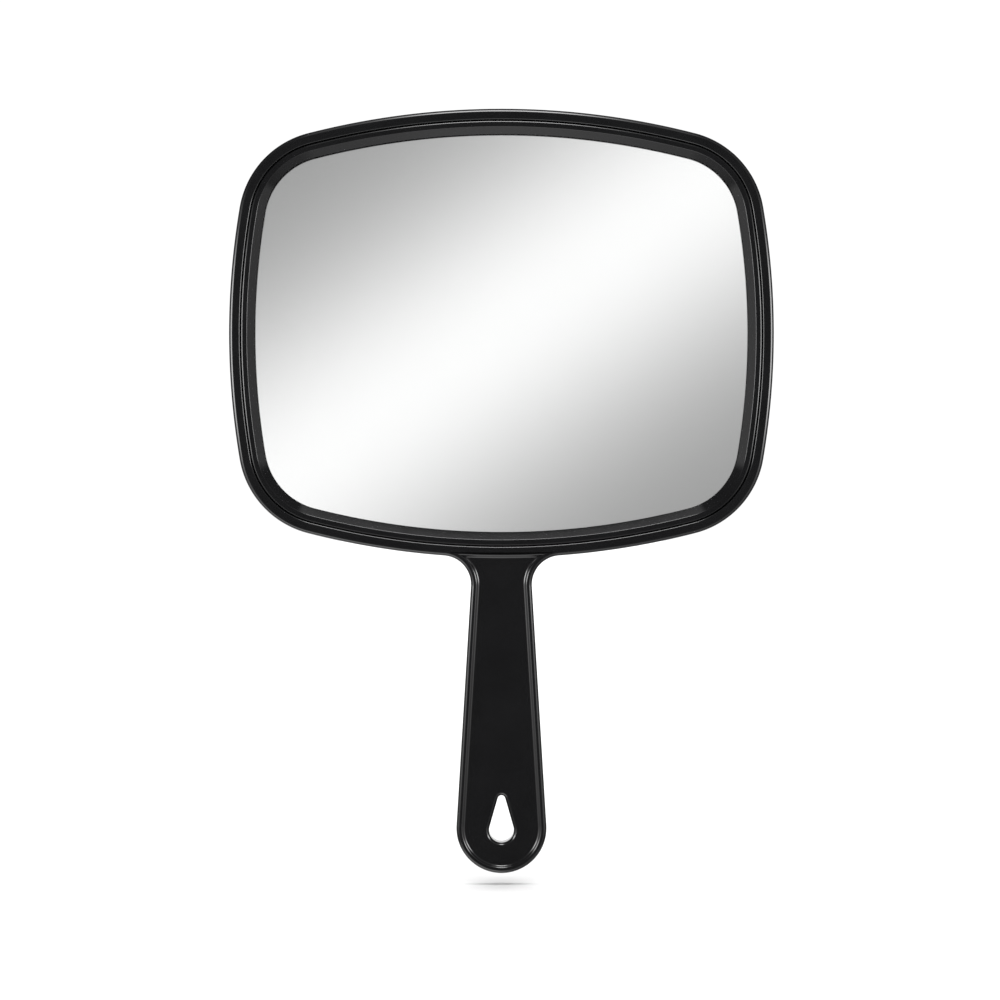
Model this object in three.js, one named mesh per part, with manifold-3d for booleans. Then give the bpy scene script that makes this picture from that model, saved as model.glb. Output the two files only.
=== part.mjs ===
// Hand mirror with a rounded-rectangle head and a flat paddle handle.
// Two moulded half shells meet on a mid-thickness parting plane. A press-in bezel ring
// holds the glass pane from the front. Behind the pane lie its reflective coating,
// protective paint, splinter-holding film, a foam sheet and four tape strips.
//
// Millimetres. +X is to the right, +Z runs from the handle's end to the head, and the
// glass faces -Y. The origin is the middle of the grip, on the parting plane.
import * as THREE from 'three';
import { mergeVertices } from 'three/addons/utils/BufferGeometryUtils.js';
import Module from 'manifold-3d';

// ---------------------------------------------------------------- driving dimensions
const HEAD_Z = 132.0;          // height of the head's centre above the grip's middle
const HEAD_HALF_W = 94.0;      // 188 mm wide over the rim
const HEAD_HALF_H = 77.46;
const R_TOP = 269.0;           // radius of the crowned top and bottom edges
const R_SIDE = 260.0;          // radius of the bowed left and right edges
const R_CORNER = 31.8;         // corner radius of the rim

const END_Z = -38.66;         // centre of the handle's round end
const END_R = 15.58;
const HANDLE_TAPER = 3.46;     // degrees, each side, narrowing towards the head
const NECK_R = 10.0;           // fillet between handle and head

const HALF_T = 6.5;            // half the overall thickness
const PART_GAP = 0.15;         // each shell stops this far from the parting plane
const WALL = 2.6;              // side wall of the shells
const FRONT_EDGE_R = 1.4;      // rounding of the front rim edge
const BACK_EDGE_R = 1.6;       // rounding of the back rim edge

const SEAM_FRAME = 3.8;        // inset of the front frame's inner wall
const SEAM_RING = 4.1;         // inset of the bezel ring's outer wall
const RING_FACE = 6.0;         // height of the ring's flat band above the parting plane
const BEVEL_OUT = 6.15;        // inset of the bevel's outer edge
const BEVEL_IN = 8.42;         // inset of the bevel's inner edge
const LIP_FACE = 3.75;         // height of the bevel's inner edge
const SIGHT = 8.63;            // inset of the visible glass edge
const LIP_BACK = 2.9;          // back of the retaining lip
const RING_SKIRT_IN = 5.2;     // inner wall of the ring's skirt
const RING_STOP = 1.5;         // the skirt's lower end
const LEDGE = 1.2;             // top of the ledge that the skirt stops on

const GLASS_INSET = 5.6;       // glass outline, from the rim outline
const GLASS_FRONT = 2.6;
const GLASS_T = 3.0;
const COAT_T = 0.2;
const LAYER_GAP = 0.25;
const FOAM_T = 1.8;
const TAPE_T = 0.2;
const FLOOR = -4.5;            // inside face of the rear shell's back wall

const RECESS_SIDE = 1.86;      // inset of the handle panel's edge
const RECESS_TOP = 0.9;        // the panel's top edge, inside the head's outline
const RECESS_SLOPE = 0.83;     // width of the sloped step round the panel
const RECESS_DEPTH = 0.9;
const BACK_RECESS_TOP = -1.8;  // top edge of the panel in the handle's back, below the head's outline
const BACK_PANEL_INSET = 4.4;  // shallow panel in the back of the head
const BACK_PANEL_DEPTH = 0.6;

const HOLE_Z = -39.44;         // hanging hole: centre of its lower, larger circle
const HOLE_R = 4.28;
const HOLE_TIP_Z = -28.76;     // centre of its small upper circle
const HOLE_TIP_R = 1.34;
const HOLE_CHAMFER = 0.9;
const COLLAR = 1.6;            // wall round the hanging hole inside the handle

const PIN_Z = [38, -16];       // locating pins on the handle's centre line
const RIB_Z = [52, 24, 10, -4];

// ---------------------------------------------------------------- outlines in the X-Z plane
const V = (x, y) => new THREE.Vector2(x, y);
const deg = (a) => (a * Math.PI) / 180;

function arc(c, r, a0, a1, n, skipFirst = false) {
  const out = [];
  for (let i = skipFirst ? 1 : 0; i <= n; i++) {
    const a = a0 + ((a1 - a0) * i) / n;
    out.push(V(c.x + r * Math.cos(a), c.y + r * Math.sin(a)));
  }
  return out;
}

// Corner circle of the head's upper right quarter, tangent to the top and side arcs.
const topC = V(0, HEAD_HALF_H - R_TOP);
const sideC = V(HEAD_HALF_W - R_SIDE, 0);
const cornerC = (() => {
  const d1 = R_TOP - R_CORNER, d2 = R_SIDE - R_CORNER;
  const D = sideC.clone().sub(topC), L = D.length();
  const a = (d1 * d1 - d2 * d2 + L * L) / (2 * L), h = Math.sqrt(d1 * d1 - a * a);
  const m = topC.clone().addScaledVector(D, a / L), n = V(-D.y, D.x).divideScalar(L);
  const p = m.clone().addScaledVector(n, h), q = m.clone().addScaledVector(n, -h);
  return p.x + p.y > q.x + q.y ? p : q;
})();
const A_TOP = Math.atan2(cornerC.y - topC.y, cornerC.x - topC.x);
const A_SIDE = Math.atan2(cornerC.y - sideC.y, cornerC.x - sideC.x);
const N_SIDE = 8, N_CORNER = 8, N_TOP = 10;

// Head outline, inset by d, counter-clockwise from the right-hand side.
function head(d) {
  const pts = [];
  const q = (sx, sy, p) => V(sx * p.x, sy * p.y + HEAD_Z);
  const side = arc(sideC, R_SIDE - d, -A_SIDE, A_SIDE, N_SIDE);
  const corner = arc(cornerC, R_CORNER - d, A_SIDE, A_TOP, N_CORNER, true);
  const top = arc(topC, R_TOP - d, A_TOP, Math.PI - A_TOP, N_TOP, true);
  pts.push(...side.map((p) => q(1, 1, p)));
  pts.push(...corner.map((p) => q(1, 1, p)));
  pts.push(...top.map((p) => q(1, 1, p)));
  const turned = [...side.slice(1), ...corner, ...top].map((p) => q(-1, -1, p));
  pts.push(...corner.slice(0, -1).reverse().map((p) => q(-1, 1, p)));
  pts.push(q(-1, -1, side[0]), ...turned);
  pts.push(...corner.slice(0, -1).reverse().map((p) => q(1, -1, p)));
  return pts;
}

// Handle: a tapered straight side, a round end, and a concave neck fillet.
const beta = deg(HANDLE_TAPER);
const nL = V(Math.cos(beta), Math.sin(beta)), uL = V(-Math.sin(beta), Math.cos(beta));
const endC = V(0, END_Z);
const botC = V(0, HEAD_Z + R_TOP - HEAD_HALF_H);
const neckC = (() => {
  const base = endC.clone().addScaledVector(nL, END_R + NECK_R).sub(botC);
  const b = base.dot(uL), c = base.lengthSq() - (R_TOP + NECK_R) ** 2;
  return base.add(botC).addScaledVector(uL, -b - Math.sqrt(b * b - c));
})();
const A_NECK_TOP = Math.atan2(botC.y - neckC.y, botC.x - neckC.x); // towards the head arc's centre
const A_NECK_LOW = Math.PI + beta;                                   // towards the handle's side

const mirror = (pts) => pts.map((p) => V(-p.x, p.y)).reverse();

// Right-hand half of the handle, inset by d, from the round end's lowest point up to the
// head arc at inset dTop (negative dTop lies below the head).
function handleHalf(d, dTop) {
  const pts = arc(endC, END_R - d, -Math.PI / 2, beta, 10);
  const r = NECK_R + d;
  // where the neck arc meets the top arc of radius R_TOP - dTop about the head arc's centre
  const D = botC.clone().sub(neckC), L = D.length(), rt = R_TOP - dTop;
  if (rt - r >= L || dTop <= -6) {
    // the top arc passes below the neck fillet's span: cut straight across the side
    const zt = botC.y - rt;
    const s = (zt - END_Z - nL.y * (END_R - d)) / uL.y;
    pts.push(endC.clone().addScaledVector(nL, END_R - d).addScaledVector(uL, s));
    return pts;
  }
  const a = (r * r - rt * rt + L * L) / (2 * L);
  const h = Math.sqrt(Math.max(0, r * r - a * a));
  const m = neckC.clone().addScaledVector(D, a / L), n = V(-D.y, D.x).divideScalar(L);
  const p = m.clone().addScaledVector(n, h), q = m.clone().addScaledVector(n, -h);
  const end = p.x < q.x ? p : q;
  let a1 = Math.atan2(end.y - neckC.y, end.x - neckC.x);
  if (a1 < 0) a1 += 2 * Math.PI;
  pts.push(...arc(neckC, r, A_NECK_LOW, a1, 6));
  return pts;
}

// Closed outline of the handle alone, inset by d, with a top arc parallel to the head's edge.
function handleLoop(d, dTop) {
  const right = handleHalf(d, dTop), left = mirror(right);
  const p = right[right.length - 1];
  const a0 = Math.atan2(p.y - botC.y, p.x - botC.x);
  const top = arc(botC, R_TOP - dTop, a0, -Math.PI - a0, 6, true).slice(0, -1);
  return [...right, ...top, ...left.slice(0, -1)];
}

// The whole silhouette, inset by d: head, neck fillets and handle in one loop.
function silhouette(d) {
  const a0 = Math.atan2(neckC.y - botC.y, neckC.x - botC.x);          // head arc meets the neck
  const right = [
    ...arc(endC, END_R - d, -Math.PI / 2, beta, 10),
    ...arc(neckC, NECK_R + d, A_NECK_LOW, A_NECK_TOP, 6),
  ];
  const bot = arc(botC, R_TOP - d, a0, -A_TOP, 4, true);
  const q = (sx, sy, p) => V(sx * p.x, sy * p.y + HEAD_Z);
  const corner = arc(cornerC, R_CORNER - d, A_SIDE, A_TOP, N_CORNER);
  const side = arc(sideC, R_SIDE - d, -A_SIDE, A_SIDE, N_SIDE);
  const topHalf = arc(topC, R_TOP - d, A_TOP, Math.PI / 2, N_TOP / 2, true);
  right.push(...bot);
  right.push(...corner.slice(0, -1).reverse().map((p) => q(1, -1, p)));
  right.push(...side.slice(1).map((p) => q(1, 1, p)));
  right.push(...corner.slice(1).map((p) => q(1, 1, p)));
  right.push(...topHalf.map((p) => q(1, 1, p)));
  return [...right, ...mirror(right).slice(1, -1)];
}

// Teardrop, grown outwards by g.
function teardrop(g) {
  const big = HOLE_R + g, small = HOLE_TIP_R + g;
  const t = Math.asin((HOLE_R - HOLE_TIP_R) / (HOLE_TIP_Z - HOLE_Z));
  return [
    ...arc(V(0, HOLE_Z), big, -Math.PI - t, t, 16),
    ...arc(V(0, HOLE_TIP_Z), small, t, Math.PI - t, 6),
  ];
}

// ---------------------------------------------------------------- solids
const wasm = await Module();
wasm.setup();

function solid(geometry) {
  const g = geometry.index ? geometry.toNonIndexed() : geometry;
  g.deleteAttribute('normal');
  g.deleteAttribute('uv');
  const m = mergeVertices(g, 1e-4);
  return new wasm.Manifold(new wasm.Mesh({
    numProp: 3,
    vertProperties: new Float32Array(m.attributes.position.array),
    triVerts: new Uint32Array(m.index.array),
  }));
}

// A plate of an outline between two heights above the parting plane.
function plate(pts, w0, w1) {
  const g = new THREE.ExtrudeGeometry(new THREE.Shape(pts), { depth: w1 - w0, bevelEnabled: false });
  return solid(g.translate(0, 0, w0));
}

// The same, with both ends drawn in by `size` over `height`: segs 1 is a chamfer, more is a rounding.
function plateDrawnIn(pts, w0, w1, size, height, segs) {
  const g = new THREE.ExtrudeGeometry(new THREE.Shape(pts), {
    depth: w1 - w0 - 2 * height,
    bevelEnabled: true, bevelSize: size, bevelThickness: height, bevelSegments: segs, bevelOffset: -size,
  });
  return solid(g.translate(0, 0, w0 + height));
}

// A plate whose lower outline differs from its upper one, point for point.
function plateBetween(lower, upper, w0, w1) {
  const g = new THREE.ExtrudeGeometry(new THREE.Shape(upper), { depth: w1 - w0, bevelEnabled: false });
  const pos = g.attributes.position;
  for (let i = 0; i < pos.count; i++) {
    if (pos.getZ(i) > (w1 - w0) / 2) continue;
    let best = 0, least = Infinity;
    upper.forEach((p, k) => {
      const e = Math.hypot(p.x - pos.getX(i), p.y - pos.getY(i));
      if (e < least) { least = e; best = k; }
    });
    pos.setXY(i, lower[best].x, lower[best].y);
  }
  return solid(g.translate(0, 0, w0));
}

function box(x0, x1, y0, y1, w0, w1) {
  const g = new THREE.BoxGeometry(x1 - x0, y1 - y0, w1 - w0);
  return solid(g.translate((x0 + x1) / 2, (y0 + y1) / 2, (w0 + w1) / 2));
}

function post(x, y, r, w0, w1, n = 20) {
  const g = new THREE.CylinderGeometry(r, r, w1 - w0, n);
  return solid(g.rotateX(Math.PI / 2).translate(x, y, (w0 + w1) / 2));
}

const above = (w) => box(-200, 200, -200, 400, w, 60);
const below = (w) => box(-200, 200, -200, 400, -60, w);
const ringOf = (fn, dOut, dIn, w0, w1) => plate(fn(dOut), w0, w1).subtract(plate(fn(dIn), w0 - 1, w1 + 1));

const halfWidthAt = (z) => (END_R - (z - END_Z) * Math.sin(beta)) / Math.cos(beta);
const rib = (z, w0, w1) => box(-halfWidthAt(z) + 1.5, halfWidthAt(z) - 1.5, z - 0.8, z + 0.8, w0, w1);

// Front frame: rim and handle front in one moulding.
function makeFrontFrame() {
  let s = plateDrawnIn(silhouette(0), -HALF_T, HALF_T, FRONT_EDGE_R, FRONT_EDGE_R, 2).intersect(above(PART_GAP));
  // opening for the bezel ring, down to the ledge; the pane passes inside the ledge
  s = s.subtract(plateDrawnIn(head(SEAM_FRAME - 0.35), HALF_T - 0.35, HALF_T + 8, 0.35, 0.35, 1));
  s = s.subtract(plate(head(SEAM_FRAME), LEDGE, HALF_T + 1));
  s = s.subtract(plate(head(RING_SKIRT_IN - 0.1), -1, LEDGE + 1));
  // groove that the ring's snap bead clicks into
  s = s.subtract(ringOf(head, SEAM_FRAME - 0.55, SEAM_FRAME + 0.3, 2.5, 3.9));
  // groove for the rear shell's tongue
  s = s.subtract(ringOf(silhouette, 0.75, 2.05, -1, 1.5));
  // sunk panel on the handle
  const edge = handleLoop(RECESS_SIDE, RECESS_TOP);
  const foot = handleLoop(RECESS_SIDE + RECESS_SLOPE, RECESS_TOP - RECESS_SLOPE);
  s = s.subtract(plateBetween(foot, edge, HALF_T - RECESS_DEPTH, HALF_T)).subtract(plate(edge, HALF_T - 0.01, HALF_T + 1));
  // hollow of the handle
  let core = plate(handleLoop(WALL, -1.6), -1, HALF_T - RECESS_DEPTH - 1.9);
  core = core.subtract(plate(teardrop(COLLAR), -2, HALF_T));
  for (const z of RIB_Z) core = core.subtract(rib(z, -2, HALF_T));
  for (const z of PIN_Z) core = core.subtract(post(0, z, 3.0, -2, HALF_T));
  s = s.subtract(core);
  for (const z of PIN_Z) s = s.subtract(post(0, z, 1.4, -1, 2.9));
  // hanging hole with its drawn-in front edge
  const hole = plateDrawnIn(teardrop(HOLE_CHAMFER), HALF_T - RECESS_DEPTH - HOLE_CHAMFER, HALF_T + 4, HOLE_CHAMFER, HOLE_CHAMFER, 1);
  return s.subtract(hole).subtract(plate(teardrop(0), -1, HALF_T + 1));
}

// Rear shell: back wall, side wall and handle back in one moulding.
function makeRearShell() {
  let s = plateDrawnIn(silhouette(0), -HALF_T, HALF_T, BACK_EDGE_R, BACK_EDGE_R, 3).intersect(below(-PART_GAP));
  s = s.add(ringOf(silhouette, 1.0, 1.8, -1, 1.2));                       // tongue
  // cavity behind the mirror, with a wall that locates the pane and backs the frame's ledge
  const tray = plate(head(WALL), FLOOR, 1).subtract(ringOf(head, 4.0, 5.2, FLOOR - 1, 2));
  s = s.subtract(tray.intersect(below(PART_GAP)));
  s = s.subtract(plate(head(WALL), -PART_GAP, 1));
  // hollow of the handle, ribbed, with a collar round the hanging hole
  let core = plate(handleLoop(WALL, -1.6), -(HALF_T - RECESS_DEPTH - 1.9), 0);
  core = core.subtract(plate(teardrop(COLLAR), -HALF_T, 1));
  for (const z of RIB_Z) core = core.subtract(rib(z, -HALF_T, 1));
  for (const z of PIN_Z) core = core.subtract(post(0, z, 3.0, -HALF_T, 1));
  s = s.subtract(core);
  for (const z of PIN_Z) s = s.add(post(0, z, 1.1, -2, 2.5));            // locating pins
  // sunk panels on the back of the handle and of the head
  const foot = handleLoop(RECESS_SIDE + 0.6, BACK_RECESS_TOP), edge = handleLoop(RECESS_SIDE + 0.6 + RECESS_SLOPE, BACK_RECESS_TOP - RECESS_SLOPE);
  s = s.subtract(plateBetween(foot, edge, -HALF_T, -HALF_T + RECESS_DEPTH)).subtract(plate(foot, -HALF_T - 1, -HALF_T + 0.01));
  s = s.subtract(plateDrawnIn(head(BACK_PANEL_INSET), -HALF_T - 4, -HALF_T + BACK_PANEL_DEPTH, 0.6, BACK_PANEL_DEPTH, 1));
  const hole = plateDrawnIn(teardrop(HOLE_CHAMFER), -HALF_T - 4, -HALF_T + RECESS_DEPTH + HOLE_CHAMFER, HOLE_CHAMFER, HOLE_CHAMFER, 1);
  return s.subtract(hole).subtract(plate(teardrop(0), -HALF_T - 1, 2));
}

// Bezel ring: flat band, sloped bevel, retaining lip, and a skirt with a snap bead.
function makeBezelRing() {
  let s = plateDrawnIn(head(SEAM_RING), -30, RING_FACE, 0.35, 0.35, 1).intersect(above(RING_STOP));
  s = s.add(ringOf(head, SEAM_RING - 0.5, SEAM_RING + 0.5, 2.8, 3.6));   // snap bead
  s = s.subtract(plateDrawnIn(head(BEVEL_OUT), LIP_FACE, RING_FACE + 12, BEVEL_IN - BEVEL_OUT, RING_FACE - LIP_FACE, 1));
  s = s.subtract(plate(head(SIGHT), 0, HALF_T));
  return s.subtract(plate(head(RING_SKIRT_IN), 0, LIP_BACK));
}

const sheet = (inset, w1, t) => plate(head(inset), w1 - t, w1);

// A tape strip with round ends, centred at (x, z).
function tape(x, z, length, width, along, w1) {
  const r = width / 2, h = length / 2 - r;
  const pts = [...arc(V(h, 0), r, -Math.PI / 2, Math.PI / 2, 6), ...arc(V(-h, 0), r, Math.PI / 2, 1.5 * Math.PI, 6)]
    .map((p) => (along === 'x' ? V(p.x + x, p.y + z) : V(-p.y + x, p.x + z)));
  return plate(pts, w1 - TAPE_T, w1);
}

const coatW = GLASS_FRONT - GLASS_T - LAYER_GAP;
const paintW = coatW - COAT_T - LAYER_GAP;
const filmW = paintW - COAT_T - LAYER_GAP;
const foamW = filmW - COAT_T - LAYER_GAP;
const tapeW = foamW - FOAM_T - LAYER_GAP;

// ---------------------------------------------------------------- scene graph
const material = (color, roughness, metalness = 0, more = {}) => new THREE.MeshStandardMaterial({ color, roughness, metalness, ...more });
const glossBlack = () => material(0x141416, 0.18);

const part = new THREE.Group();
part.name = 'hand_mirror';

function place(name, s, mat) {
  const m = s.getMesh();
  const g = new THREE.BufferGeometry();
  g.setAttribute('position', new THREE.BufferAttribute(new Float32Array(m.vertProperties), 3));
  g.setIndex(new THREE.BufferAttribute(new Uint32Array(m.triVerts), 1));
  g.computeVertexNormals();
  const mesh = new THREE.Mesh(g, mat);
  mesh.name = name;
  mesh.rotation.x = Math.PI / 2;   // heights above the parting plane point to -Y
  part.add(mesh);
}

place('front_frame', makeFrontFrame(), glossBlack());
place('rear_shell', makeRearShell(), glossBlack());
place('bezel_ring', makeBezelRing(), glossBlack());
place('mirror_glass', sheet(GLASS_INSET, GLASS_FRONT, GLASS_T), material(0xdde8e4, 0.02, 0, { transparent: true, opacity: 0.35 }));
place('silver_coating', sheet(GLASS_INSET, coatW, COAT_T), material(0xe9ebec, 0.03, 1));
place('backing_paint', sheet(GLASS_INSET, paintW, COAT_T), material(0x6d7378, 0.6));
place('safety_film', sheet(GLASS_INSET + 0.8, filmW, COAT_T), material(0xd8dde2, 0.4));
place('foam_cushion', sheet(GLASS_INSET + 1.2, foamW, FOAM_T), material(0x2b2b2d, 0.95));
place('tape_top', tape(0, HEAD_Z + 52, 110, 14, 'x', tapeW), material(0xf2efe6, 0.7));
place('tape_bottom', tape(0, HEAD_Z - 52, 110, 14, 'x', tapeW), material(0xf2efe6, 0.7));
place('tape_left', tape(-66, HEAD_Z, 70, 14, 'z', tapeW), material(0xf2efe6, 0.7));
place('tape_right', tape(66, HEAD_Z, 70, 14, 'z', tapeW), material(0xf2efe6, 0.7));

export default part;
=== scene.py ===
"""Looks of the hand mirror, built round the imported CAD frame.

Every skin is swept from the same outlines as the CAD part: arcs and lines in the X-Z plane, offset by an inset, with a
filleted section in (inset, height). Lengths are in millimetres up to the moment a mesh is made.
"""

import math

import bpy
import bmesh
from mathutils import Matrix, Vector
from mathutils.geometry import tessellate_polygon

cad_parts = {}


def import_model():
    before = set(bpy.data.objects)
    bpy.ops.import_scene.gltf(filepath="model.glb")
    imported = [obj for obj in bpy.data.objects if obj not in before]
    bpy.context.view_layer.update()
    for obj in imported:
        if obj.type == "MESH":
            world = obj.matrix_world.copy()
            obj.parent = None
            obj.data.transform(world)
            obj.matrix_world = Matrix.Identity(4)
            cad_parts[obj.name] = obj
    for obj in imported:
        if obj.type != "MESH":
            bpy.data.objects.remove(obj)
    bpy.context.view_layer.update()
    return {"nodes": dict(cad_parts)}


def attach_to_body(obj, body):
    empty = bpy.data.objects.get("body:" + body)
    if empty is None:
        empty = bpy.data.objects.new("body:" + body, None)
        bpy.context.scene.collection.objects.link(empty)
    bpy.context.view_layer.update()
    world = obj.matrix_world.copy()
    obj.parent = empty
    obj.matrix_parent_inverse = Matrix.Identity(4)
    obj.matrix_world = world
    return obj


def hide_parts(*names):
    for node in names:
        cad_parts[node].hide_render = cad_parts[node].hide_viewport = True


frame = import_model()
MM = 0.001

# ---------------------------------------------------------------- dimensions, as in the CAD part (mm)
HEAD_Z, HEAD_HALF_W, HEAD_HALF_H = 132.0, 94.0, 77.46
R_TOP, R_SIDE, R_CORNER = 269.0, 260.0, 31.8
END_Z, END_R, HANDLE_TAPER, NECK_R = -38.66, 15.58, 3.46, 10.0
HALF_T = 6.5
SEAM_FRAME, SEAM_RING = 3.80, 3.88
RING_FACE, BEVEL_OUT, BEVEL_IN, LIP_FACE, SIGHT = 6.0, 6.15, 8.42, 3.75, 8.74
OPENING_LIFT = 0.12      # the opening sits this much higher than the ring
LIP_BACK, RING_SKIRT_IN, RING_STOP, LEDGE = 2.9, 5.2, 1.5, 1.2
GLASS_INSET, GLASS_FRONT, GLASS_T = 5.6, 2.6, 3.0
RECESS_SIDE, RECESS_TOP, RECESS_SLOPE, RECESS_DEPTH = 1.86, 0.9, 0.96, 0.9
BACK_RECESS_TOP, BACK_PANEL_INSET, BACK_PANEL_DEPTH = -1.8, 4.4, 0.6
HOLE_Z, HOLE_R, HOLE_TIP_Z, HOLE_TIP_R = -39.44, 4.28, -28.76, 1.34

LIP_EDGE = RING_FACE - (RING_FACE - LIP_FACE) * (SIGHT - BEVEL_OUT) / (BEVEL_IN - BEVEL_OUT)  # the slope's foot
FRONT_EDGE_R = 1.4       # rounding of the rim's outer edge
SEAM_EDGE_R = 0.45       # rounding of the frame's edge at the seam
RING_EDGE_R = 0.95       # rounding of the ring's edge at the seam
HOLE_EDGE_R = 1.4        # rounding of the hanging hole's edge
PANEL_EDGE_R, PANEL_FOOT_R = 0.9, 1.2  # the handle panel's edge and foot
BACK_EDGE_R = 1.6
RIM_IN = 1.45            # where the flat rim begins
PART_GAP = 0.04          # half the parting line's gap
PART_EDGE_R = 0.16
STEP_FRONT, STEP_REAR = 0.5, -0.3  # inside its edge the joint steps forward, so no light passes through it


# ---------------------------------------------------------------- outlines: stations (x, z, normal x, normal z)
def arc(cx, cz, r, a0, a1, n, sign=1, skip=False):
    """n + 1 stations on a circle. sign is 1 where the material is inside the circle, and -1 where it is outside."""
    out = []
    for i in range(1 if skip else 0, n + 1):
        a = a0 + (a1 - a0) * i / n
        c, s = math.cos(a), math.sin(a)
        out.append((cx + r * c, cz + r * s, sign * c, sign * s))
    return out


def corner_centre():
    tz, sx = HEAD_HALF_H - R_TOP, HEAD_HALF_W - R_SIDE
    d1, d2 = R_TOP - R_CORNER, R_SIDE - R_CORNER
    dx, dz = sx, -tz
    L = math.hypot(dx, dz)
    a = (d1 * d1 - d2 * d2 + L * L) / (2 * L)
    h = math.sqrt(d1 * d1 - a * a)
    mx, mz = dx * a / L, tz + dz * a / L
    best = max(((mx - dz / L * h, mz + dx / L * h), (mx + dz / L * h, mz - dx / L * h)), key=sum)
    return best


CX, CZ = corner_centre()
A_TOP = math.atan2(CZ - (HEAD_HALF_H - R_TOP), CX)
A_SIDE = math.atan2(CZ, CX - (HEAD_HALF_W - R_SIDE))
N_SIDE, N_CORNER, N_TOP = 28, 26, 36


def moved(st, sx, sz):
    return [(sx * x, sz * z + HEAD_Z, sx * nx, sz * nz) for x, z, nx, nz in st]


def head_stations():
    side = arc(HEAD_HALF_W - R_SIDE, 0, R_SIDE, 0, A_SIDE, N_SIDE // 2)
    corner = arc(CX, CZ, R_CORNER, A_SIDE, A_TOP, N_CORNER, skip=True)
    top = arc(0, HEAD_HALF_H - R_TOP, R_TOP, A_TOP, math.pi / 2, N_TOP // 2, skip=True)
    q = side + corner + top                      # from the right-hand point to the top, both on an axis
    out = moved(q, 1, 1)
    out += moved(q[:-1][::-1], -1, 1)
    out += moved(q[1:], -1, -1)
    out += moved(q[1:-1][::-1], 1, -1)
    return out


HEAD = head_stations()


def head(d):
    return [(x - d * nx, z - d * nz, nx, nz) for x, z, nx, nz in HEAD]


BETA = math.radians(HANDLE_TAPER)
NLX, NLZ = math.cos(BETA), math.sin(BETA)
ULX, ULZ = -math.sin(BETA), math.cos(BETA)
BOT_Z = HEAD_Z + R_TOP - HEAD_HALF_H            # centre of the head's bottom arc


def neck_centre():
    bx, bz = NLX * (END_R + NECK_R), END_Z + NLZ * (END_R + NECK_R) - BOT_Z
    b = bx * ULX + bz * ULZ
    c = bx * bx + bz * bz - (R_TOP + NECK_R) ** 2
    s = -b - math.sqrt(b * b - c)
    return bx + ULX * s, bz + BOT_Z + ULZ * s


NX, NZ = neck_centre()
A_NECK_TOP = math.atan2(BOT_Z - NZ, -NX)
A_NECK_LOW = math.pi + BETA


def flip(st):
    return [(-x, z, -nx, nz) for x, z, nx, nz in st[::-1]]


def line(p, q, n):
    """Stations strictly between two stations on a straight side."""
    return [tuple(p[k] + (q[k] - p[k]) * i / n for k in range(4)) for i in range(1, n)]


def silhouette_stations():
    right = arc(0, END_Z, END_R, -math.pi / 2, BETA, 30)
    neck = arc(NX, NZ, NECK_R, A_NECK_LOW, A_NECK_TOP, 22, sign=-1)
    right += line(right[-1], neck[0], 12) + neck
    a0 = math.atan2(NZ - BOT_Z, NX)
    right += arc(0, BOT_Z, R_TOP, a0, -A_TOP, 14, skip=True)
    corner = arc(CX, CZ, R_CORNER, A_SIDE, A_TOP, N_CORNER)
    side = arc(HEAD_HALF_W - R_SIDE, 0, R_SIDE, 0, A_SIDE, N_SIDE // 2)
    right += moved(corner[:-1][::-1], 1, -1)
    right += moved(side[:-1][::-1], 1, -1) + moved(side[1:], 1, 1)
    right += moved(corner[1:], 1, 1)
    right += moved(arc(0, HEAD_HALF_H - R_TOP, R_TOP, A_TOP, math.pi / 2, N_TOP // 2, skip=True), 1, 1)
    return right + flip(right)[1:-1]


SIL = silhouette_stations()


def silhouette(d):
    return [(x - d * nx, z - d * nz, nx, nz) for x, z, nx, nz in SIL]


def panel(e, side=RECESS_SIDE, top=RECESS_TOP):
    """The handle's sunk panel, inset by e from its edge: a closed loop with a sharp corner where the neck meets the head."""
    d, dt = side + e, top - e
    right = arc(0, END_Z, END_R - d, -math.pi / 2, BETA, 30)
    r, rt = NECK_R + d, R_TOP - dt
    dx, dz = -NX, BOT_Z - NZ
    L = math.hypot(dx, dz)
    a = (r * r - rt * rt + L * L) / (2 * L)
    h = math.sqrt(max(0.0, r * r - a * a))
    mx, mz = NX + dx * a / L, NZ + dz * a / L
    ends = ((mx - dz / L * h, mz + dx / L * h), (mx + dz / L * h, mz - dx / L * h))
    ex, ez = min(ends)
    a1 = math.atan2(ez - NZ, ex - NX) % (2 * math.pi)
    neck = arc(NX, NZ, r, A_NECK_LOW, a1, 16, sign=-1)
    right += line(right[-1], neck[0], 12) + neck
    b0 = math.atan2(ez - BOT_Z, ex)
    top = arc(0, BOT_Z, rt, b0, -math.pi - b0, 24, sign=-1)
    return right + top + flip(right)[:-1]


def teardrop(d):
    """The hanging hole, inset by d: negative d grows it."""
    t = math.asin((HOLE_R - HOLE_TIP_R) / (HOLE_TIP_Z - HOLE_Z))
    low = arc(0, HOLE_Z, HOLE_R - d, -math.pi / 2, t, 22)
    tip = arc(0, HOLE_TIP_Z, HOLE_TIP_R - d, t, math.pi / 2, 10)
    right = low + line(low[-1], tip[0], 6) + tip
    return right + flip(right)[1:-1]


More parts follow.
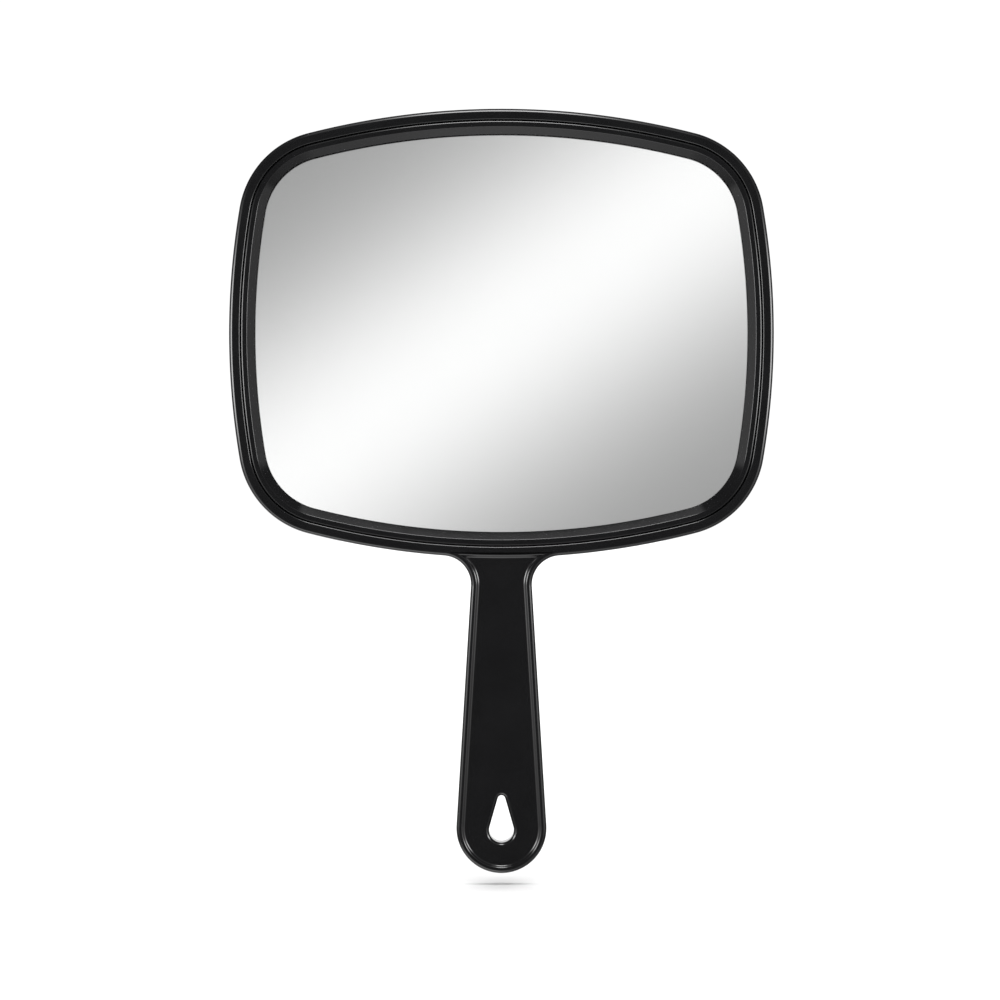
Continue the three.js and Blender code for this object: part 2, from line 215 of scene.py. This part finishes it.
# ---------------------------------------------------------------- sections
def section(points, seg=6, closed=False):
    """Spans of (inset, height, normal inset, normal height) along a polyline of (inset, height, corner radius).
    A corner of radius 0 is sharp, and starts a new span."""
    n = len(points)
    idx = range(n) if closed else range(1, n - 1)

    def unit(p, q):
        dx, dy = q[0] - p[0], q[1] - p[1]
        L = math.hypot(dx, dy)
        return dx / L, dy / L

    corners = {}
    for i in idx:
        p, v, q = points[i - 1], points[i], points[(i + 1) % n]
        u, w = unit(p, v), unit(v, q)
        turn = math.atan2(u[0] * w[1] - u[1] * w[0], u[0] * w[0] + u[1] * w[1])
        r = v[2]
        if r <= 0 or abs(turn) < 1e-6:
            corners[i] = ([(v[0], v[1], -u[1], u[0])], [(v[0], v[1], -w[1], w[0])])
            continue
        T = r * math.tan(abs(turn) / 2)
        ax, ay = v[0] - u[0] * T, v[1] - u[1] * T
        s = 1 if turn < 0 else -1
        na = math.atan2(u[0], -u[1])
        cx, cy = ax - s * r * math.cos(na), ay - s * r * math.sin(na)
        k = max(2, math.ceil(seg * abs(turn) / (math.pi / 2)))
        pts = []
        for j in range(k + 1):
            a = na + turn * j / k
            pts.append((cx + s * r * math.cos(a), cy + s * r * math.sin(a), math.cos(a), math.sin(a)))
        corners[i] = (pts, None)

    spans, cur = [], []
    if not closed:
        u = unit(points[0], points[1])
        cur = [(points[0][0], points[0][1], -u[1], u[0])]
    for i in idx:
        first, second = corners[i]
        cur += first
        if second is not None:
            spans.append(cur)
            cur = list(second)
    if closed:
        if spans:
            spans[0] = cur + spans[0]
        else:
            spans.append(cur + cur[:1])
    else:
        u = unit(points[-2], points[-1])
        cur.append((points[-1][0], points[-1][1], -u[1], u[0]))
        spans.append(cur)
    return [s for s in spans if len(s) > 1]


# ---------------------------------------------------------------- meshes
class Skin:
    """A mesh grown from strips and flat faces, welded by position, with exact normals at every corner."""

    def __init__(self):
        self.index, self.verts, self.faces, self.normals, self.mats = {}, [], [], [], []
        self.mat = 0

    def vertex(self, p):
        key = tuple(round(c * 2e3) for c in p)          # 0.5 micrometre
        if key not in self.index:
            self.index[key] = len(self.verts)
            self.verts.append(tuple(c * MM for c in p))
        return self.index[key]

    def face(self, pts, nrm):
        ids, ns, ps = [], [], []
        for p, n in zip(pts, nrm):
            i = self.vertex(p)
            if i not in ids:
                ids.append(i), ns.append(Vector(n)), ps.append(Vector(p))
        if len(ids) < 3:
            return
        g = Vector((0, 0, 0))
        for k in range(len(ps)):
            g += (ps[k] - ps[0]).cross(ps[(k + 1) % len(ps)] - ps[0])
        if g.dot(sum(ns, Vector((0, 0, 0)))) < 0:
            ids, ns = ids[::-1], ns[::-1]
        self.faces.append(ids)
        self.normals.append(ns)
        self.mats.append(self.mat)

    def strip(self, loop, spans, y=-1):
        """Sweeps a section round a family of loops. Heights point to y times +Y."""
        for span in spans:
            rows = []
            for d, h, nd, nh in span:
                rows.append([((x, y * h, z), (-nd * nx, y * nh, -nd * nz)) for x, z, nx, nz in loop(d)])
            for a, b in zip(rows, rows[1:]):
                m = len(a)
                for i in range(m):
                    j = (i + 1) % m
                    quad = (a[i], a[j], b[j], b[i])
                    self.face([q[0] for q in quad], [q[1] for q in quad])

    def flat(self, loops, h, y=-1, facing=None):
        """A flat face at a height, with holes: loops[0] is its outline."""
        facing = y if facing is None else facing
        rings = [[(s[0], y * h, s[1]) for s in lp] for lp in loops]
        clean = []
        for ring in rings:
            kept = []
            for p in ring:
                if not kept or self.vertex(p) != self.vertex(kept[-1]):
                    kept.append(p)
            if self.vertex(kept[0]) == self.vertex(kept[-1]):
                kept.pop()
            clean.append(kept)
        pts = [p for ring in clean for p in ring]
        tris = tessellate_polygon([[Vector((p[0], p[2], 0)) for p in ring] for ring in clean])
        n = (0, facing, 0)
        for t in tris:
            self.face([pts[i] for i in t], [n] * 3)

    def object(self, name, *materials):
        me = bpy.data.meshes.new(name)
        me.from_pydata(self.verts, [], self.faces)
        me.polygons.foreach_set("use_smooth", [True] * len(me.polygons))
        me.polygons.foreach_set("material_index", self.mats)
        me.normals_split_custom_set([tuple(n.normalized()) for ns in self.normals for n in ns])
        me.update()
        o = bpy.data.objects.new(name, me)
        bpy.context.scene.collection.objects.link(o)
        for m in materials:
            me.materials.append(m)
        bm = bmesh.new()
        bm.from_mesh(me)
        open_edges = sum(1 for e in bm.edges if len(e.link_faces) != 2)
        print(f"{name}: {len(me.polygons)} faces, {open_edges} open edges, volume {bm.calc_volume() * 1e6:.2f} cm3")
        bm.free()
        return o


def make_front_frame(materials):
    s = Skin()
    gap, er = PART_GAP, PART_EDGE_R
    outer = section([(0.9, STEP_FRONT, 0), (0.9, gap, 0), (0, gap, er), (0.04, HALF_T, FRONT_EDGE_R), (RIM_IN, HALF_T, 0)], seg=12)
    s.strip(silhouette, outer)
    seam = section([(2.9, HALF_T, 0), (SEAM_FRAME, HALF_T, SEAM_EDGE_R), (SEAM_FRAME + 0.03, LEDGE, 0.1), (5.1, LEDGE, 0.1), (5.1, STEP_FRONT, 0)], seg=9)
    s.strip(head, seam)
    # sunk panel: rounded edge, slope and a small radius at its foot
    rim_in, floor_in = -0.40, RECESS_SLOPE + 0.60
    sunk = HALF_T - RECESS_DEPTH
    s.strip(panel, section([(rim_in, HALF_T, 0), (0, HALF_T, PANEL_EDGE_R), (RECESS_SLOPE, sunk, PANEL_FOOT_R), (floor_in, sunk, 0)], seg=16))
    hole = section([(-1.45, sunk, 0), (0, sunk, HOLE_EDGE_R), (0.03, gap, 0), (-0.9, gap, 0), (-0.9, STEP_FRONT, 0)], seg=12)
    s.strip(teardrop, hole)
    s.flat([silhouette(RIM_IN), head(2.9), panel(rim_in)], HALF_T)
    s.flat([panel(floor_in), teardrop(-1.45)], sunk)
    s.flat([silhouette(0.9), head(5.1), teardrop(-0.9)], STEP_FRONT, facing=1)
    return s.object("front_frame_moulding", *materials)


def make_rear_shell(materials):
    s = Skin()
    gap, er = PART_GAP, PART_EDGE_R
    s.strip(silhouette, section([(1.0, STEP_REAR, 0), (1.0, gap, 0), (0, gap, er), (0.05, HALF_T, BACK_EDGE_R), (1.85, HALF_T, 0)], seg=12), 1)
    # shallow panel in the head's back
    floor = HALF_T - BACK_PANEL_DEPTH
    s.strip(head, section([(4.05, HALF_T, 0), (BACK_PANEL_INSET, HALF_T, 0.4), (BACK_PANEL_INSET + 0.7, floor, 0.4), (BACK_PANEL_INSET + 1.1, floor, 0)], seg=12), 1)
    s.flat([silhouette(1.85), head(4.05), back_panel(-0.40)], HALF_T, 1)
    s.mat = 1
    s.flat([head(BACK_PANEL_INSET + 1.1)], floor, 1)
    s.mat = 0
    # the handle's back panel
    sunk = HALF_T - RECESS_DEPTH
    s.strip(back_panel, section([(-0.40, HALF_T, 0), (0, HALF_T, PANEL_EDGE_R), (RECESS_SLOPE, sunk, PANEL_FOOT_R), (RECESS_SLOPE + 0.60, sunk, 0)], seg=16), 1)
    s.strip(teardrop, section([(-1.45, sunk, 0), (0, sunk, HOLE_EDGE_R), (0.03, gap, 0), (-1.0, gap, 0), (-1.0, STEP_REAR, 0)], seg=12), 1)
    s.flat([back_panel(RECESS_SLOPE + 0.60), teardrop(-1.45)], sunk, 1)
    # the tray behind the pane
    s.strip(head, section([(3.6, 4.5, 0), (2.65, 4.5, 0.6), (2.6, STEP_REAR, 0)], seg=6), 1)
    s.flat([head(3.6)], 4.5, 1, facing=-1)
    s.flat([silhouette(1.0), head(2.6), teardrop(-1.0)], STEP_REAR, 1, facing=-1)
    return s.object("rear_shell_moulding", *materials)


def back_panel(e):
    return panel(e, RECESS_SIDE + 0.6, BACK_RECESS_TOP)


def opening(d):
    """The head's outline inset by d, raised a little towards the ring's inner edge."""
    up = OPENING_LIFT * max(0.0, (d - BEVEL_OUT) / (SIGHT - BEVEL_OUT))
    return [(x, z + up, nx, nz) for x, z, nx, nz in head(d)]


def make_bezel_ring(materials):
    s = Skin()
    slope = [
        (SEAM_RING, RING_STOP, 0.15),
        (SEAM_RING, RING_FACE, RING_EDGE_R),
        (BEVEL_OUT, RING_FACE, 0.32),
        (SIGHT, LIP_EDGE, 0.015),
        (SIGHT - 0.06, LIP_BACK, 0.05),
        (RING_SKIRT_IN, LIP_BACK, 0),
        (RING_SKIRT_IN, RING_STOP, 0),
    ]
    s.strip(opening, section(slope, seg=10, closed=True))
    return s.object("bezel_ring_moulding", *materials)


def slab(name, inset, w_front, thickness, bevel, materials, seg=4):
    """A sheet with the head's outline. w_front is its front face's height above the parting plane."""
    s = Skin()
    w_back = w_front - thickness
    pts = [(inset + bevel * 2 + 0.2, w_back, 0), (inset, w_back, bevel), (inset, w_front, bevel), (inset + bevel * 2 + 0.2, w_front, 0)]
    # going outwards along the back face, round the edge and back in along the front
    s.strip(head, section(pts, seg=seg))
    s.flat([head(inset + bevel * 2 + 0.2)], w_front, -1, facing=-1)
    s.flat([head(inset + bevel * 2 + 0.2)], w_back, -1, facing=1)
    return s.object(name, *materials)


# ---------------------------------------------------------------- node helpers
class Tree:
    def __init__(self, nt):
        self.nt = nt

    def node(self, kind, **props):
        n = self.nt.nodes.new(kind)
        for k, v in props.items():
            setattr(n, k, v)
        return n

    def put(self, socket, value):
        if isinstance(value, bpy.types.NodeSocket):
            self.nt.links.new(value, socket)
        elif value is not None:
            socket.default_value = value

    def math(self, op, a, b=None, c=None, clamp=False):
        n = self.node("ShaderNodeMath", operation=op, use_clamp=clamp)
        for i, v in enumerate((a, b, c)):
            if v is not None:
                self.put(n.inputs[i], v)
        return n.outputs[0]

    def smooth(self, v, lo, hi, out_lo=0.0, out_hi=1.0):
        n = self.node("ShaderNodeMapRange", interpolation_type="SMOOTHSTEP")
        for name, val in (("Value", v), ("From Min", lo), ("From Max", hi), ("To Min", out_lo), ("To Max", out_hi)):
            self.put(n.inputs[name], val)
        return n.outputs[0]

    def gauss(self, v, mid, sigma):
        """exp(-((v - mid) / sigma)^2)"""
        d = self.math("DIVIDE", self.math("SUBTRACT", v, mid), sigma)
        return self.math("POWER", math.e, self.math("MULTIPLY", self.math("MULTIPLY", d, d), -1.0))

    def lobe(self, v, mid, half):
        """exp(-((v - mid) / half)^4): a flat top with short soft flanks."""
        d = self.math("DIVIDE", self.math("SUBTRACT", v, mid), half)
        d = self.math("MULTIPLY", d, d)
        return self.math("POWER", math.e, self.math("MULTIPLY", self.math("MULTIPLY", d, d), -1.0))

    def noise(self, vector, scale, detail=3.0, rough=0.55, distortion=0.0):
        n = self.node("ShaderNodeTexNoise")
        self.put(n.inputs["Vector"], vector)
        n.inputs["Scale"].default_value = scale
        n.inputs["Detail"].default_value = detail
        n.inputs["Roughness"].default_value = rough
        n.inputs["Distortion"].default_value = distortion
        return n.outputs["Fac"]

    def ramp(self, v, stops):
        n = self.node("ShaderNodeValToRGB")
        self.put(n.inputs["Fac"], v)
        els = n.color_ramp.elements
        while len(els) > len(stops):
            els.remove(els[-1])
        while len(els) < len(stops):
            els.new(0.5)
        for e, (pos, col) in zip(els, stops):
            e.position = pos
            e.color = (*col, 1.0) if len(col) == 3 else col
        return n.outputs["Color"]

    def scaled(self, vector, scale, rotation=(0, 0, 0)):
        n = self.node("ShaderNodeMapping")
        self.put(n.inputs["Vector"], vector)
        n.inputs["Scale"].default_value = scale
        n.inputs["Rotation"].default_value = rotation
        return n.outputs["Vector"]

    def bump(self, height, strength, distance, normal=None):
        n = self.node("ShaderNodeBump")
        n.inputs["Strength"].default_value = strength
        n.inputs["Distance"].default_value = distance
        self.put(n.inputs["Height"], height)
        if normal is not None:
            self.put(n.inputs["Normal"], normal)
        return n.outputs["Normal"]


def material(name):
    m = bpy.data.materials.new(name)
    m.use_nodes = True
    t = Tree(m.node_tree)
    b = m.node_tree.nodes["Principled BSDF"]
    coords = t.node("ShaderNodeTexCoord").outputs["Object"]
    return m, t, b, coords


def gloss_black(name, seed, rough=0.065):
    """Injection-moulded black ABS: a faint flow mottle, an orange-peel skin, handling hairlines."""
    m, t, b, co = material(name)
    mottle = t.noise(t.scaled(co, (1, 1, 1), (seed, 0, 0)), 70, 4)
    t.put(b.inputs["Base Color"], t.ramp(mottle, [(0.3, (0.0042, 0.0042, 0.0046)), (0.7, (0.0062, 0.0062, 0.0067))]))
    haze = t.noise(t.scaled(co, (1, 1, 1), (0, seed, 0)), 240, 3)
    hair = t.noise(t.scaled(co, (1, 1, 0.03), (0.5 + seed, 0.3, seed)), 2600, 2, 0.5)
    hair2 = t.noise(t.scaled(co, (0.03, 1, 1), (0.2, seed, 0.9)), 2300, 2, 0.5)
    lines = t.math("MAXIMUM", t.smooth(hair, 0.66, 0.74), t.smooth(hair2, 0.67, 0.75))
    r = t.math("ADD", t.smooth(haze, 0.3, 0.7, rough - 0.015, rough + 0.02), t.math("MULTIPLY", lines, 0.03))
    t.put(b.inputs["Roughness"], r)
    b.inputs["IOR"].default_value = 1.49
    peel = t.noise(co, 420, 2, 0.4)
    t.put(b.inputs["Normal"], t.bump(peel, 0.10, 0.00001))
    return m


def satin_back(name):
    """The spark-eroded finish of the shallow back panel: a fine even grain that scatters the light."""
    m, t, b, co = material(name)
    v = t.node("ShaderNodeTexVoronoi", feature="SMOOTH_F1")
    t.put(v.inputs["Vector"], co)
    v.inputs["Scale"].default_value = 1500
    v.inputs["Smoothness"].default_value = 0.6
    grain = t.math("MULTIPLY", v.outputs["Distance"], t.noise(co, 2600, 3, 0.6))
    t.put(b.inputs["Base Color"], t.ramp(t.noise(co, 700, 4), [(0.3, (0.0058, 0.0058, 0.0063)), (0.7, (0.0082, 0.0082, 0.0088))]))
    t.put(b.inputs["Roughness"], t.smooth(t.noise(co, 900, 4), 0.3, 0.7, 0.36, 0.42))
    b.inputs["IOR"].default_value = 1.49
    t.put(b.inputs["Normal"], t.bump(grain, 0.55, 0.00006))
    return m


def pane_glass():
    m, t, b, co = material("float_glass")
    wipe = t.noise(t.scaled(co, (1, 1, 0.25), (0, 0.6, 0)), 60, 5, 0.6)
    t.put(b.inputs["Roughness"], t.smooth(wipe, 0.45, 0.8, 0.0, 0.006))
    t.put(b.inputs["Base Color"], t.ramp(t.noise(co, 12, 2), [(0.2, (0.984, 0.990, 0.986)), (0.8, (0.988, 0.993, 0.990))]))
    b.inputs["IOR"].default_value = 1.5
    b.inputs["Transmission Weight"].default_value = 1.0
    return m


def silver():
    m, t, b, co = material("deposited_silver")
    b.inputs["Metallic"].default_value = 1.0
    t.put(b.inputs["Base Color"], t.ramp(t.noise(co, 30, 4), [(0.3, (0.936, 0.930, 0.933)), (0.7, (0.944, 0.938, 0.941))]))
    t.put(b.inputs["Roughness"], t.smooth(t.noise(co, 45, 3), 0.3, 0.7, 0.0, 0.004))
    return m


def lacquer():
    m, t, b, co = material("backing_lacquer")
    flow = t.noise(t.scaled(co, (1, 1, 0.4)), 90, 5, 0.6)
    t.put(b.inputs["Base Color"], t.ramp(flow, [(0.3, (0.14, 0.155, 0.17)), (0.7, (0.18, 0.2, 0.22))]))
    t.put(b.inputs["Roughness"], t.smooth(flow, 0.3, 0.7, 0.5, 0.65))
    t.put(b.inputs["Normal"], t.bump(t.noise(co, 900, 3), 0.3, 0.00003))
    return m


def film():
    m, t, b, co = material("splinter_film")
    w1 = t.node("ShaderNodeTexWave", wave_type="BANDS", bands_direction="X")
    w2 = t.node("ShaderNodeTexWave", wave_type="BANDS", bands_direction="Z")
    for w in (w1, w2):
        t.put(w.inputs["Vector"], co)
        w.inputs["Scale"].default_value = 260
        w.inputs["Distortion"].default_value = 0.6
    weave = t.math("MULTIPLY", w1.outputs["Fac"], w2.outputs["Fac"])
    t.put(b.inputs["Base Color"], t.ramp(t.noise(co, 140, 4), [(0.3, (0.66, 0.69, 0.72)), (0.7, (0.74, 0.77, 0.8))]))
    t.put(b.inputs["Roughness"], t.smooth(t.noise(co, 200, 3), 0.3, 0.7, 0.32, 0.45))
    t.put(b.inputs["Normal"], t.bump(weave, 0.4, 0.00004))
    return m


def foam():
    m, t, b, co = material("closed_cell_foam")
    v = t.node("ShaderNodeTexVoronoi", feature="F1")
    t.put(v.inputs["Vector"], co)
    v.inputs["Scale"].default_value = 1300
    cells = v.outputs["Distance"]
    t.put(b.inputs["Base Color"], t.ramp(cells, [(0.0, (0.018, 0.018, 0.02)), (0.6, (0.05, 0.05, 0.053))]))
    t.put(b.inputs["Roughness"], t.smooth(t.noise(co, 500, 4), 0.3, 0.7, 0.85, 1.0))
    b.inputs["Sheen Weight"].default_value = 0.15
    t.put(b.inputs["Normal"], t.bump(cells, 0.7, 0.0002))
    return m


def tape_paper():
    m, t, b, co = material("tape_liner_paper")
    fibre = t.noise(t.scaled(co, (1, 1, 0.2), (0, 0.4, 0)), 1200, 5, 0.65)
    t.put(b.inputs["Base Color"], t.ramp(fibre, [(0.25, (0.80, 0.78, 0.71)), (0.75, (0.89, 0.87, 0.81))]))
    t.put(b.inputs["Roughness"], t.smooth(fibre, 0.3, 0.7, 0.6, 0.8))
    t.put(b.inputs["Normal"], t.bump(fibre, 0.35, 0.00005))
    return m


# ---------------------------------------------------------------- pieces
def attach(o, body, nodes):
    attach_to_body(o, body)
    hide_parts(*nodes)
    return o


frame_mat = gloss_black("frame_abs", 0.0)
ring_mat = gloss_black("ring_abs", 1.7)
shell_mat = gloss_black("shell_abs", 3.1)
back_mat = satin_back("shell_abs_grained")

attach(make_front_frame([frame_mat]), "root", ["front_frame"])
attach(make_rear_shell([shell_mat, back_mat]), "root", ["rear_shell"])
attach(make_bezel_ring([ring_mat]), "root", ["bezel_ring"])
pane = attach(slab("glass_pane", GLASS_INSET, GLASS_FRONT, GLASS_T, 0.35, [pane_glass()]), "root", ["mirror_glass"])
w = GLASS_FRONT - GLASS_T - 0.03
mirror = attach(slab("silver_layer", GLASS_INSET + 0.1, w, 0.1, 0.04, [silver()]), "root", ["silver_coating"])
w -= 0.13
attach(slab("lacquer_layer", GLASS_INSET + 0.1, w, 0.12, 0.04, [lacquer()]), "root", ["backing_paint"])
w -= 0.15
attach(slab("film_sheet", GLASS_INSET + 0.8, w, 0.2, 0.06, [film()]), "root", ["safety_film"])
w -= 0.25
cushion = attach(slab("foam_sheet", GLASS_INSET + 1.2, w, 2.0, 0.6, [foam()]), "root", ["foam_cushion"])
paper = tape_paper()
for name in ("tape_top", "tape_bottom", "tape_left", "tape_right"):
    node = frame["nodes"][name]
    node.data.materials.clear()
    node.data.materials.append(paper)


# ---------------------------------------------------------------- camera
cam = bpy.data.objects.new("camera", bpy.data.cameras.new("camera"))
bpy.context.scene.collection.objects.link(cam)
cam.data.sensor_width = 36.0
cam.data.lens = 150.0
cam.location = (-0.0005, -1.4422, 0.07447)
cam.rotation_euler = (math.radians(90), 0, 0)
cam.data.clip_start, cam.data.clip_end = 0.01, 50
bpy.context.scene.camera = cam


# ---------------------------------------------------------------- stage and light
def plane_object(name, centre, u, v, mat):
    """A flat card: u and v are its half sides. Its object coordinates run from -1 to 1 across it."""
    me = bpy.data.meshes.new(name)
    me.from_pydata([(-1, -1, 0), (1, -1, 0), (1, 1, 0), (-1, 1, 0)], [], [(0, 1, 2, 3)])
    o = bpy.data.objects.new(name, me)
    bpy.context.scene.collection.objects.link(o)
    u, v = Vector(u), Vector(v)
    n = u.cross(v).normalized()
    o.matrix_world = Matrix(((u.x, v.x, n.x, centre[0]), (u.y, v.y, n.y, centre[1]), (u.z, v.z, n.z, centre[2]), (0, 0, 0, 1)))
    me.materials.append(mat)
    return o


def floor():
    m, t, b, co = material("pale_floor")
    t.put(b.inputs["Base Color"], t.ramp(t.noise(co, 8, 4), [(0.3, (0.84, 0.84, 0.84)), (0.7, (0.86, 0.86, 0.86))]))
    b.inputs["Roughness"].default_value = 0.9
    b.inputs["Specular IOR Level"].default_value = 0.0
    b.inputs["Emission Color"].default_value = (1, 1, 1, 1)
    b.inputs["Emission Strength"].default_value = 0.065    # a light table's glow, which keeps the shadow pale
    m.cycles.emission_sampling = "NONE"
    o = plane_object("floor", (0, 0, FLOOR_Z), (12, 0, 0), (0, 12, 0), m)
    o.visible_glossy = False
    o.visible_transmission = False
    return o


FLOOR_Z = -0.0584
ground = floor()


def softbox(name, centre, aim, half_u, half_v, base, hot, hot_u, hot_v, hot_at=(0.0, 0.0), tail=0.0, tail_at=0.0, tail_v=0.3):
    """A card that glows: base all over with soft edges, a hot patch and a dimmer tail below it. half_u is across, in
    the X-Y plane."""
    m = bpy.data.materials.new(name)
    m.use_nodes = True
    nt = m.node_tree
    nt.nodes.clear()
    t = Tree(nt)
    co = t.node("ShaderNodeTexCoord").outputs["Object"]
    sep = t.node("ShaderNodeSeparateXYZ")
    t.put(sep.inputs[0], co)
    x, y = sep.outputs[0], sep.outputs[1]
    edge = t.math("MULTIPLY", t.smooth(t.math("ABSOLUTE", x), 1.0, 0.7), t.smooth(t.math("ABSOLUTE", y), 1.0, 0.6))
    spot = t.math("MULTIPLY", t.lobe(x, hot_at[0], hot_u), t.lobe(y, hot_at[1], hot_v))
    low = t.math("MULTIPLY", t.lobe(x, hot_at[0], hot_u), t.gauss(y, tail_at, tail_v))
    power = t.math("ADD", t.math("MULTIPLY", edge, base), t.math("MULTIPLY", spot, hot))
    power = t.math("ADD", power, t.math("MULTIPLY", low, tail))
    em = t.node("ShaderNodeEmission")
    t.put(em.inputs["Strength"], power)
    clear = t.node("ShaderNodeBsdfTransparent")
    add = t.node("ShaderNodeAddShader")
    t.nt.links.new(em.outputs[0], add.inputs[0])
    t.nt.links.new(clear.outputs[0], add.inputs[1])
    out = t.node("ShaderNodeOutputMaterial")
    t.nt.links.new(add.outputs[0], out.inputs[0])
    m.cycles.emission_sampling = "NONE"
    c, a = Vector(centre), Vector(aim)
    n = (a - c).normalized()
    up = Vector((0, 0, 1))
    if abs(n.z) > 0.9:
        up = Vector((0, -1, 0))
    u = up.cross(n).normalized()
    v = n.cross(u).normalized()
    o = plane_object(name, centre, u * half_u, v * half_v, m)
    o.visible_camera = False
    o.visible_diffuse = False
    o.visible_shadow = False
    o.visible_transmission = False
    return o


AIM = (0, 0, 0.132)
softbox("softbox_right", (0.45, -0.22, 0.09), AIM, 0.36, 0.28, 0.50, 12.5, 0.40, 0.30, hot_at=(0.21, 0.20), tail=1.4, tail_at=-0.22, tail_v=0.20)
softbox("softbox_left", (-0.45, -0.22, 0.09), AIM, 0.36, 0.28, 0.70, 12.5, 0.40, 0.30, hot_at=(-0.21, 0.18), tail=2.0, tail_at=-0.24, tail_v=0.22)
softbox("softbox_top", (0, -0.20, 0.62), AIM, 0.22, 0.42, 0.66, 15.5, 0.42, 0.31, hot_at=(0, 0.24))


def gradient_card():
    """The pale sweep behind the camera that the glass mirrors: a soft diagonal band of light."""
    m = bpy.data.materials.new("gradient_card")
    m.use_nodes = True
    nt = m.node_tree
    nt.nodes.clear()
    t = Tree(nt)
    co = t.node("ShaderNodeNewGeometry").outputs["Position"]
    sep = t.node("ShaderNodeSeparateXYZ")
    t.put(sep.inputs[0], co)
    a = math.radians(35)
    far = 1.6 / 1.4422 + 1                          # how much wider the mirrored field is at the card
    zc = (0.132 - 0.07447) * far + 0.07447
    s = t.math("SUBTRACT", t.math("MULTIPLY", sep.outputs[0], math.sin(a)),
               t.math("MULTIPLY", t.math("SUBTRACT", sep.outputs[2], zc), math.cos(a)))
    s = t.math("DIVIDE", s, far * MM)               # in millimetres on the glass
    band = t.gauss(s, -1.35, 51.4)
    fade = t.math("MULTIPLY", t.smooth(t.math("ABSOLUTE", sep.outputs[0]), 1.15, 0.45),
                  t.smooth(t.math("ABSOLUTE", t.math("SUBTRACT", sep.outputs[2], 0.2)), 1.15, 0.5))
    power = t.math("MULTIPLY", fade, t.math("ADD", 0.2325, t.math("MULTIPLY", band, 0.7275)))
    em = t.node("ShaderNodeEmission")
    t.put(em.inputs["Strength"], power)
    clear = t.node("ShaderNodeBsdfTransparent")
    add = t.node("ShaderNodeAddShader")
    t.nt.links.new(em.outputs[0], add.inputs[0])
    t.nt.links.new(clear.outputs[0], add.inputs[1])
    out = t.node("ShaderNodeOutputMaterial")
    t.nt.links.new(add.outputs[0], out.inputs[0])
    m.cycles.emission_sampling = "NONE"
    o = plane_object("gradient_card", (0, -1.6, 0.2), (1.2, 0, 0), (0, 0, 1.2), m)
    o.visible_camera = False
    o.visible_diffuse = False
    o.visible_shadow = False
    return o


card = gradient_card()
mirrors = bpy.data.collections.new("lit_by_card")
for o in (pane, mirror):
    mirrors.objects.link(o)
card.light_linking.receiver_collection = mirrors


def world():
    w = bpy.data.worlds.new("studio")
    bpy.context.scene.world = w
    w.use_nodes = True
    nt = w.node_tree
    nt.nodes.clear()
    t = Tree(nt)
    co = t.node("ShaderNodeTexCoord").outputs["Generated"]
    sep = t.node("ShaderNodeSeparateXYZ")
    t.put(sep.inputs[0], co)
    x, y, z = sep.outputs
    def product(*terms):
        out = terms[0]
        for term in terms[1:]:
            out = t.math("MULTIPLY", out, term)
        return out

    glows = (
        product(t.gauss(x, 0.0, 0.24), t.smooth(z, -0.6, -0.95), t.smooth(y, 0.6, 0.15), 0.65),     # pale floor straight below
        product(t.gauss(y, -0.52, 0.20), t.smooth(t.math("SUBTRACT", z, x), 0.3, 0.9, 0.5, 0.15)),   # walls of the light tent
        product(t.gauss(y, -0.44, 0.18), t.smooth(z, -0.25, -0.6), t.smooth(x, 0.15, -0.2, 0.3, 2.9)),  # its floor, in front
        product(t.smooth(z, -0.3, -0.8), 0.25),
        product(t.smooth(z, -0.2, -0.55), t.smooth(x, 0.1, -0.35), t.smooth(y, -0.05, 0.35), 1.0),  # pale wall, low on the left
        product(t.smooth(y, 0.5, 0.9), 0.45),
        product(t.smooth(y, 0.88, 0.985), 0.45),
    )
    level = t.math("ADD", 0.116, 0.0)
    for glow in glows:
        level = t.math("ADD", level, glow)
    # the mirror looks past the lamps at a plain studio wall, paler towards the top and along one diagonal
    path = t.node("ShaderNodeLightPath")
    wall = t.math("ADD", 0.30, t.smooth(z, -0.7, 0.6, 0.0, 0.30))
    wall = t.math("ADD", wall, product(t.gauss(t.math("ADD", t.math("MULTIPLY", x, 0.45), z), -0.35, 0.30), 0.30))
    wall = t.math("ADD", 0.12, product(wall, t.smooth(y, -0.97, -0.80)))
    through = t.math("GREATER_THAN", path.outputs["Transmission Depth"], 0.5)
    level = t.math("ADD", product(level, t.math("SUBTRACT", 1.0, through)), product(wall, through))
    ray = path.outputs["Is Camera Ray"]
    power = t.math("ADD", t.math("MULTIPLY", ray, 1.05), t.math("MULTIPLY", t.math("SUBTRACT", 1.0, ray), level))
    bg = t.node("ShaderNodeBackground")
    t.put(bg.inputs["Strength"], power)
    bg.inputs["Color"].default_value = (1, 1, 1, 1)
    out = t.node("ShaderNodeOutputWorld")
    t.nt.links.new(bg.outputs[0], out.inputs[0])
    w.cycles_visibility.diffuse = False
    w.cycles.sampling_method = "NONE"


world()

# two wide overhead lights, one leaning forward and one back, for a soft shadow on the floor
for name, lean in (("overhead_front", -42), ("overhead_back", 42)):
    sun = bpy.data.objects.new(name, bpy.data.lights.new(name, "SUN"))
    bpy.context.scene.collection.objects.link(sun)
    sun.data.energy = 3.3
    sun.data.angle = math.radians(80)
    sun.visible_glossy = False
    sun.location = (0, -0.2, 2)
    sun.rotation_euler = (math.radians(lean), 0, 0)

bpy.context.scene.view_settings.view_transform = "Standard"
bpy.context.scene.view_settings.look = "None"

bpy.context.view_layer.update()
